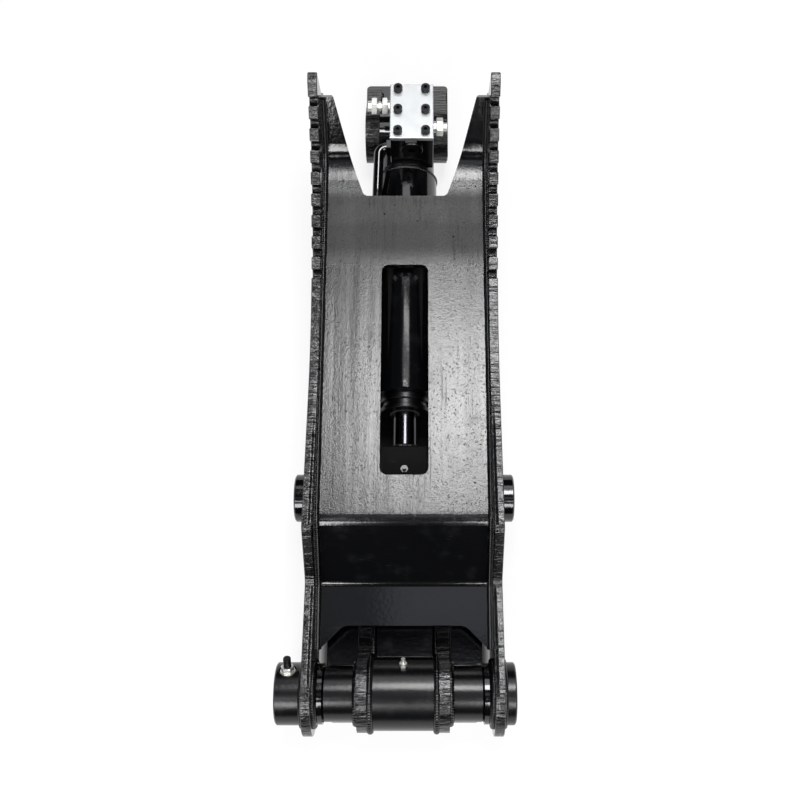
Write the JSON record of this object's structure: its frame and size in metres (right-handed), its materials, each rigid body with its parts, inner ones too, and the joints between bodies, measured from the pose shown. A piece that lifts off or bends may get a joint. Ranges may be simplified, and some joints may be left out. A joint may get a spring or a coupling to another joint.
{
  "type": "excavator thumb",
  "caption": "Weld-on hydraulic excavator thumb: toothed twin-plate arm on a pivot bracket, with its cylinder, valve block and cylinder bracket.",
  "frame": {"origin": "centre line of the main pin, dropped to the underside of the pivot bracket's base plate, where it is welded to the stick", "axes": "+X along the main pin towards the plain boss, +Y from the main pin towards the toothed tip, +Z away from the stick towards the teeth"},
  "size_m": [0.3385, 1.09, 0.3061],
  "materials": {
    "gloss_black_paint": "gloss black enamel over flame-cut and machined steel",
    "pin_steel": "hardened and ground pin steel",
    "zinc_steel": "bright zinc plate",
    "black_oxide_steel": "black oxide, lightly oiled",
    "bearing_bronze": "machined bearing bronze",
    "hard_chrome": "polished hard chrome",
    "machined_iron": "machined ductile iron",
    "seal_rubber": "moulded polyurethane"
  },
  "bodies": {
    "pivot_bracket": {"hub_tube": "gloss_black_paint", "hub_bushing_left": "bearing_bronze", "hub_bushing_right": "bearing_bronze", "bracket_ear_left": "gloss_black_paint", "bracket_ear_right": "gloss_black_paint", "bracket_base_plate": "gloss_black_paint", "hub_grease_nipple": "zinc_steel", "thrust_washer_left": "gloss_black_paint", "thrust_washer_right": "gloss_black_paint"},
    "thumb": {"side_plate_left": "gloss_black_paint", "side_plate_right": "gloss_black_paint", "web_plate": "gloss_black_paint", "main_pin_collar_left": "gloss_black_paint", "main_pin_boss_right": "gloss_black_paint", "rod_pin_boss_left": "gloss_black_paint", "rod_pin_boss_right": "gloss_black_paint", "main_pin": "pin_steel", "pin_lock_bolt": "zinc_steel", "pin_lock_nut": "zinc_steel", "pin_lock_washers": "zinc_steel", "rod_pin": "pin_steel", "rod_pin_spacer_left": "gloss_black_paint", "rod_pin_spacer_right": "gloss_black_paint", "rod_pin_rings": "black_oxide_steel"},
    "rod": {"rod_eye": "gloss_black_paint", "rod_eye_bushing": "bearing_bronze", "rod_eye_nipple": "zinc_steel", "piston_rod": "hard_chrome", "piston": "machined_iron", "piston_seal": "seal_rubber", "piston_nut": "black_oxide_steel"},
    "barrel": {"barrel_tube": "gloss_black_paint", "gland_head": "zinc_steel", "rod_seal": "seal_rubber", "wiper_seal": "seal_rubber", "base_cap_eye": "gloss_black_paint", "base_eye_bushing": "bearing_bronze", "base_eye_nipple": "zinc_steel", "valve_block": "gloss_black_paint", "valve_cover_plate": "zinc_steel", "valve_screws": "black_oxide_steel", "port_plug": "black_oxide_steel", "oil_tube": "gloss_black_paint", "tube_nut": "gloss_black_paint", "head_port_block": "gloss_black_paint", "hose_adapter_left": "zinc_steel", "hose_adapter_right": "zinc_steel"},
    "cylinder_bracket": {"cylinder_ear_left": "gloss_black_paint", "cylinder_ear_right": "gloss_black_paint", "cylinder_base_plate": "gloss_black_paint", "base_pin": "pin_steel", "base_pin_rings": "black_oxide_steel"}
  },
  "joints": [
    {"name": "thumb_swing", "type": "hinge", "parent": "pivot_bracket", "child": "thumb", "pos_m": [0, 0, 0.095], "axis": [1, 0, 0], "range_deg": [0, 76]},
    {"name": "cylinder_swing", "type": "hinge", "parent": "thumb", "child": "rod", "pos_m": [0, 0.2775, 0.103], "axis": [1, 0, 0], "range_deg": [-95, 1]},
    {"name": "rod_slide", "type": "slide", "parent": "rod", "child": "barrel", "axis": [0, 0.9977, -0.0685], "range_m": [0, 0.275]},
    {"name": "bracket_swing", "type": "hinge", "parent": "barrel", "child": "cylinder_bracket", "pos_m": [0, 0.90403, 0.06], "axis": [1, 0, 0], "range_deg": [-5, 60]}
  ]
}
